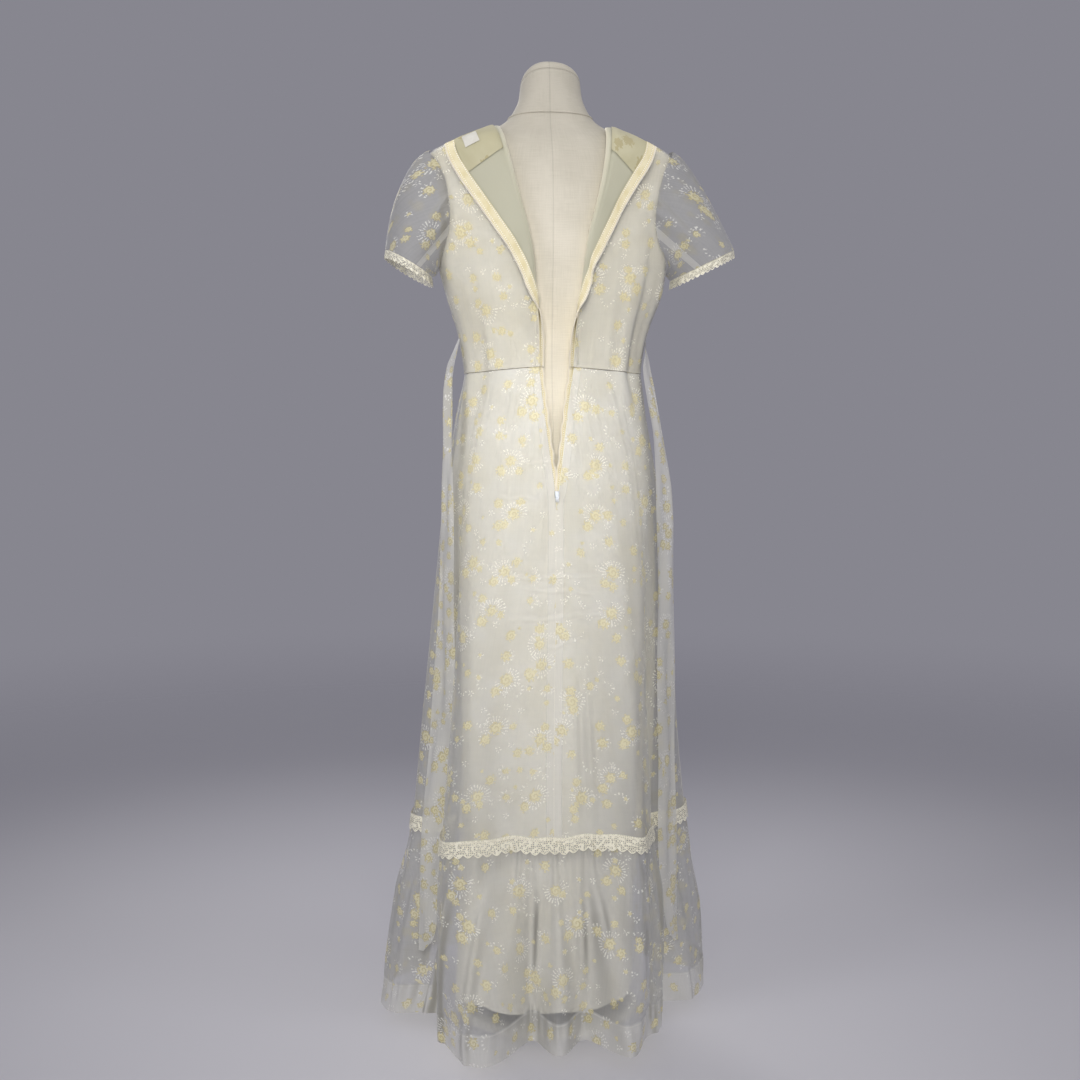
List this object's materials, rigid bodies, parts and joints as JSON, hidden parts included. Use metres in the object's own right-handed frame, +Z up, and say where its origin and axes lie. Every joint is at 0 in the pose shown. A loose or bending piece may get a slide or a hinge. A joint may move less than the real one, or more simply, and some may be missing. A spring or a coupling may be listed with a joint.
{
  "type": "prairie dress on a dress form",
  "caption": "Long printed organza dress with lace-edged flounce and short puffed sleeves, open zip back, on a limbless dress form",
  "frame": {"origin": "centre of the underside of the stand's base", "axes": "+Z up, the wearer faces +Y so the zip is towards -Y, +X is the wearer's right"},
  "size_m": [0.5728, 0.5513, 1.5096],
  "materials": {
    "organza": "fine plain weave",
    "lining": "soft satin",
    "facing": "plain woven, stiffened",
    "lace": "cotton lace",
    "tape": "woven tape",
    "label": "woven ribbon, bare",
    "linen": "linen stretched over a shell",
    "metal": "dull nickel",
    "stand": "satin enamel"
  },
  "bodies": {
    "dress": {"bodice_back_left": "organza", "bodice_back_right": "organza", "bodice_front": "organza", "bodice_lining_back_left": "lining", "bodice_lining_back_right": "lining", "bodice_lining_front": "lining", "form_neck_cap": "linen", "form_torso": "linen", "neck_facing_left": "facing", "neck_facing_right": "facing", "neck_label": "label", "ruffle_back": "organza", "ruffle_front": "organza", "ruffle_lace_back": "lace", "ruffle_lace_front": "lace", "skirt_back_left": "organza", "skirt_back_right": "organza", "skirt_front": "organza", "skirt_lining_back_left": "lining", "skirt_lining_back_right": "lining", "skirt_lining_front": "lining", "sleeve_lace_left": "lace", "sleeve_lace_right": "lace", "sleeve_left": "organza", "sleeve_right": "organza", "stand_base": "stand", "stand_pole": "metal", "tie_left": "organza", "tie_right": "organza", "zip_slider": "metal", "zip_tape_left": "tape", "zip_tape_right": "tape"},
    "tab": {"pull_tab": "metal"}
  },
  "joints": [
    {"name": "tab_swing", "type": "hinge", "parent": "dress", "child": "tab", "pos_m": [0.0009, -0.14704, 0.85022], "axis": [-1, 0, 0], "range_deg": [0, 150]}
  ]
}
